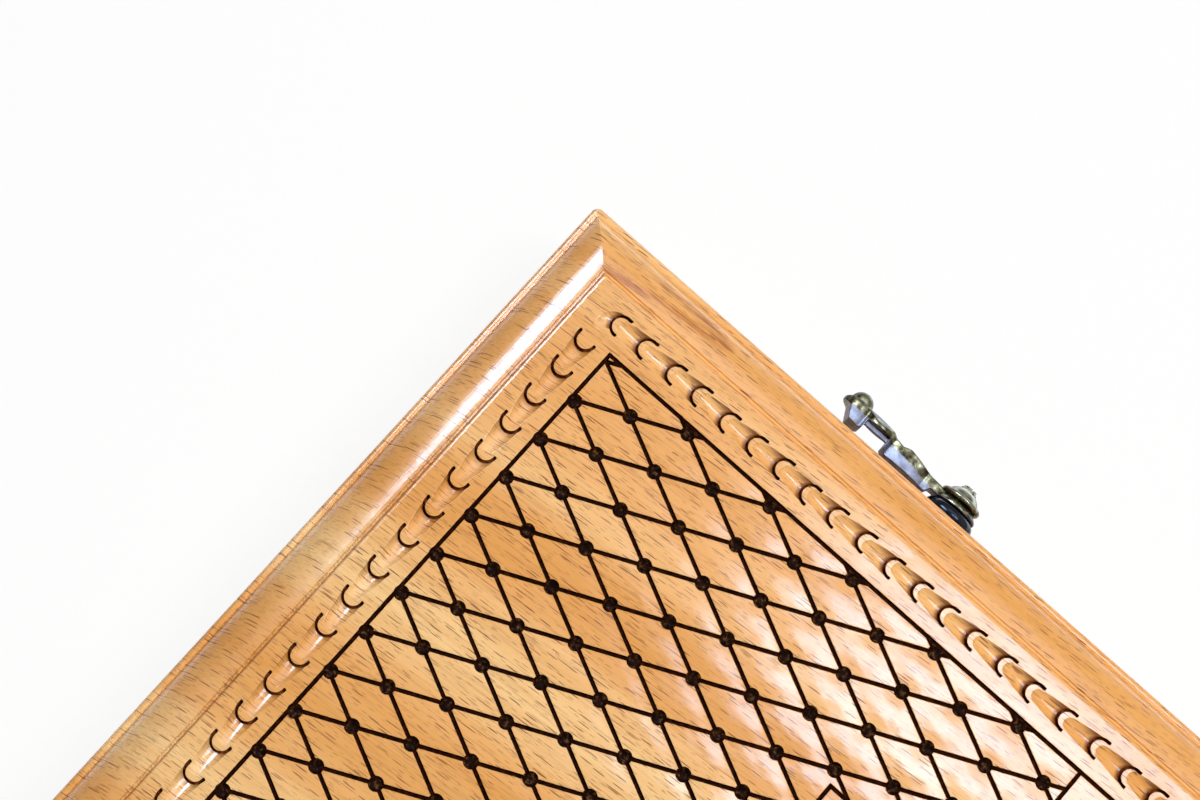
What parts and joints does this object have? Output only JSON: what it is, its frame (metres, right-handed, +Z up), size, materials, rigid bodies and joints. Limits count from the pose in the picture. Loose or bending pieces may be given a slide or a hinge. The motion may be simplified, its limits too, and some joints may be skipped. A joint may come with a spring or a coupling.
{
  "type": "backgammon board",
  "caption": "Folding wooden backgammon board with moulded, lattice-carved outer panels, swing hook clasps, butt hinges, inlaid points, turned checkers and dice.",
  "frame": {"origin": "middle of the underside of the closed board, lying flat", "axes": "+X along the long sides, in the direction that the resting hooks point; +Y from the clasp side to the hinge side; +Z up"},
  "size_m": [0.6, 0.3158, 0.0563],
  "materials": {
    "carved_beech": "glossy clear lacquer over beech, burnt dark in the carving",
    "wall_beech": "glossy clear lacquer over beech",
    "field_wood": "satin lacquered pear veneer",
    "dark_inlay": "satin lacquered dark wood inlay",
    "light_inlay": "satin lacquered light wood inlay",
    "hinge_brass": "satin brass",
    "clasp_nickel": "worn antique nickel plating",
    "clasp_base": "polished black nickel",
    "light_checker_wood": "lacquered light wood",
    "dark_checker_wood": "lacquered dark wood",
    "dice_plastic": "ivory plastic with black pips"
  },
  "bodies": {
    "lower_half": {"lower_outer_panel": "carved_beech", "lower_front_wall": "wall_beech", "lower_back_wall": "wall_beech", "lower_left_wall": "wall_beech", "lower_right_wall": "wall_beech", "lower_field_board": "field_wood", "lower_dark_points": "dark_inlay", "lower_light_points": "light_inlay", "left_hinge_lower_leaf": "hinge_brass", "right_hinge_lower_leaf": "hinge_brass", "hinge_pins": "hinge_brass", "lower_hinge_screws": "hinge_brass", "latch_keepers": "clasp_nickel"},
    "upper_half": {"upper_outer_panel": "carved_beech", "upper_front_wall": "wall_beech", "upper_back_wall": "wall_beech", "upper_left_wall": "wall_beech", "upper_right_wall": "wall_beech", "upper_field_board": "field_wood", "upper_dark_points": "dark_inlay", "upper_light_points": "light_inlay", "left_hinge_upper_leaf": "hinge_brass", "right_hinge_upper_leaf": "hinge_brass", "upper_hinge_screws": "hinge_brass", "latch_bases": "clasp_base", "latch_screws": "clasp_nickel"},
    "left_hook": {"left_hook": "clasp_nickel"},
    "right_hook": {"right_hook": "clasp_nickel"},
    "light_checkers": {"light_checker_01": "light_checker_wood", "light_checker_02": "light_checker_wood", "light_checker_03": "light_checker_wood", "light_checker_04": "light_checker_wood", "light_checker_05": "light_checker_wood", "light_checker_06": "light_checker_wood", "light_checker_07": "light_checker_wood", "light_checker_08": "light_checker_wood", "light_checker_09": "light_checker_wood", "light_checker_10": "light_checker_wood", "light_checker_11": "light_checker_wood", "light_checker_12": "light_checker_wood", "light_checker_13": "light_checker_wood", "light_checker_14": "light_checker_wood", "light_checker_15": "light_checker_wood"},
    "dark_checkers": {"dark_checker_01": "dark_checker_wood", "dark_checker_02": "dark_checker_wood", "dark_checker_03": "dark_checker_wood", "dark_checker_04": "dark_checker_wood", "dark_checker_05": "dark_checker_wood", "dark_checker_06": "dark_checker_wood", "dark_checker_07": "dark_checker_wood", "dark_checker_08": "dark_checker_wood", "dark_checker_09": "dark_checker_wood", "dark_checker_10": "dark_checker_wood", "dark_checker_11": "dark_checker_wood", "dark_checker_12": "dark_checker_wood", "dark_checker_13": "dark_checker_wood", "dark_checker_14": "dark_checker_wood", "dark_checker_15": "dark_checker_wood"},
    "dice": {"first_die": "dice_plastic", "second_die": "dice_plastic"}
  },
  "joints": [
    {"name": "lid_hinge", "type": "hinge", "parent": "lower_half", "child": "upper_half", "pos_m": [0, 0.1505, 0.02815], "axis": [-1, 0, 0], "range_deg": [0, 180]},
    {"name": "left_hook_pivot", "type": "hinge", "parent": "upper_half", "child": "left_hook", "pos_m": [-0.182, -0.15, 0.0358], "axis": [0, -1, 0], "range_deg": [-34.6, 90]},
    {"name": "right_hook_pivot", "type": "hinge", "parent": "upper_half", "child": "right_hook", "pos_m": [0.182, -0.15, 0.0358], "axis": [0, -1, 0], "range_deg": [-34.6, 90]},
    {"name": "light_checkers_lift", "type": "slide", "parent": "lower_half", "child": "light_checkers", "axis": [0, 0, 1], "range_m": [0, 0.015]},
    {"name": "dark_checkers_lift", "type": "slide", "parent": "lower_half", "child": "dark_checkers", "axis": [0, 0, 1], "range_m": [0, 0.015]},
    {"name": "dice_lift", "type": "slide", "parent": "lower_half", "child": "dice", "axis": [0, 0, 1], "range_m": [0, 0.012]}
  ]
}
